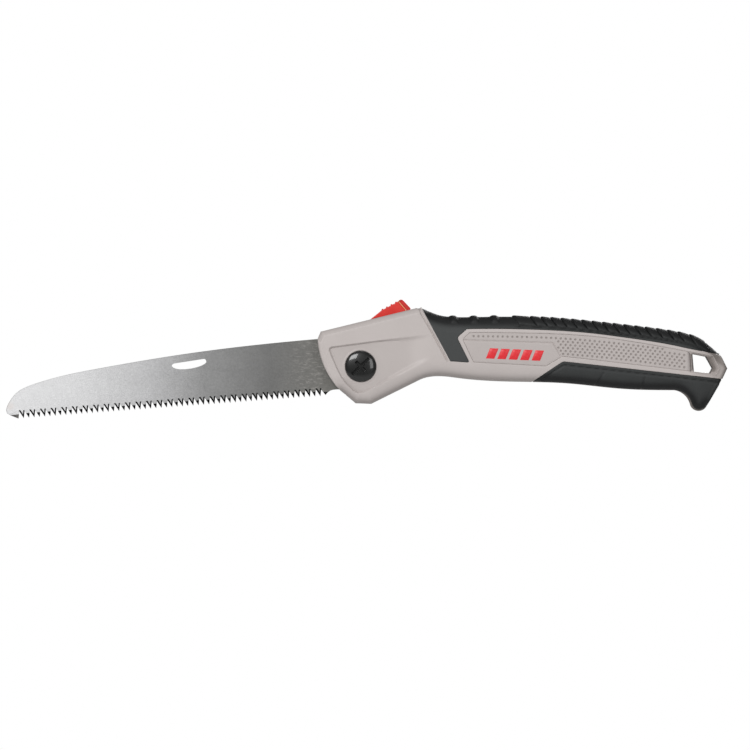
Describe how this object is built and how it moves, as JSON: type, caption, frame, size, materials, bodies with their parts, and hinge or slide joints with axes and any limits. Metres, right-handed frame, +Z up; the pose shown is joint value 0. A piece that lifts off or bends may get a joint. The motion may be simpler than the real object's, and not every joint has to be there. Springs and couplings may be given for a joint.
{
  "type": "folding pull saw",
  "caption": "Folding pull saw: curved toothed blade on a pivot, rocker lock with a red thumb button, and a grey handle with dark soft grips, a guard hook and a lanyard hole.",
  "frame": {"origin": "centre of the pivot nut's flat outer face, on the blade pivot's axis", "axes": "+X along the handle from the blade to the tail, +Z up with the teeth below, +Y out of the back cheek along the pivot; the blade is open and points along -X"},
  "size_m": [0.418, 0.024, 0.069],
  "materials": {
    "shell": "satin",
    "panel": "textured",
    "grip": "matt",
    "button": "satin",
    "blade_steel": "ground",
    "black_steel": "gloss",
    "zinc_steel": "zinc plated",
    "spring_steel": "drawn",
    "washer": "plain"
  },
  "bodies": {
    "handle": {"front_shell": "shell", "back_shell": "shell", "front_top_grip": "grip", "back_top_grip": "grip", "front_lower_grip": "grip", "back_lower_grip": "grip", "front_side_panel": "panel", "back_side_panel": "panel", "pivot_screw": "black_steel", "pivot_nut": "black_steel", "front_pivot_washer": "washer", "back_pivot_washer": "washer", "shell_screws": "zinc_steel", "lock_pin": "zinc_steel", "lock_spring": "spring_steel"},
    "blade": {"blade": "blade_steel"},
    "lock": {"lock_lever": "zinc_steel", "lock_button": "button"}
  },
  "joints": [
    {"name": "blade_fold", "type": "hinge", "parent": "handle", "child": "blade", "pos_m": [0, -0.0119, 0], "axis": [0, -1, 0], "range_deg": [0, 169.5]},
    {"name": "lock_rocker", "type": "hinge", "parent": "handle", "child": "lock", "pos_m": [0.0125, -0.0119, 0.025], "axis": [0, 1, 0], "range_deg": [0, 9], "stiffness_Nm_per_rad": 0.35, "springref_deg": -17.19, "deforming": ["lock_spring"]}
  ]
}
